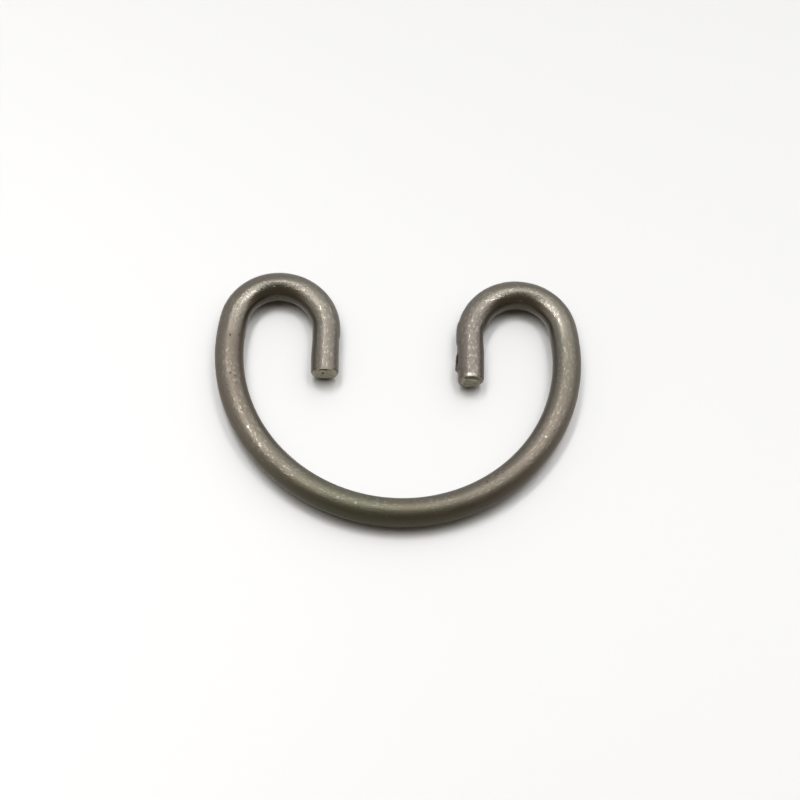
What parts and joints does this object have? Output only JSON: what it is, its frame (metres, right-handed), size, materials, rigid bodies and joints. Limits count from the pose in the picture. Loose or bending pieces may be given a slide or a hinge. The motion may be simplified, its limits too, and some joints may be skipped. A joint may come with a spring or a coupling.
{
  "type": "piston circlip",
  "caption": "Open snap ring bent from round spring-steel wire, with inward hooks and straight tangs for pliers; it snaps into a bore groove and keeps a piston pin in place.",
  "frame": {"origin": "centre of the ring, in the middle of the wire's thickness", "axes": "+Z along the axis of the bore that the clip sits in, +Y from the ring's centre out through the mouth between the hooks, +X across the clip towards the longer tang"},
  "size_m": [0.0154, 0.0114, 0.0012],
  "materials": {
    "spring_steel_wire": "dull drawn spring-steel wire with a warm grey-brown tone, small pits and rubbed bright specks"
  },
  "bodies": {
    "root": {"circlip": "spring_steel_wire"}
  },
  "joints": []
}
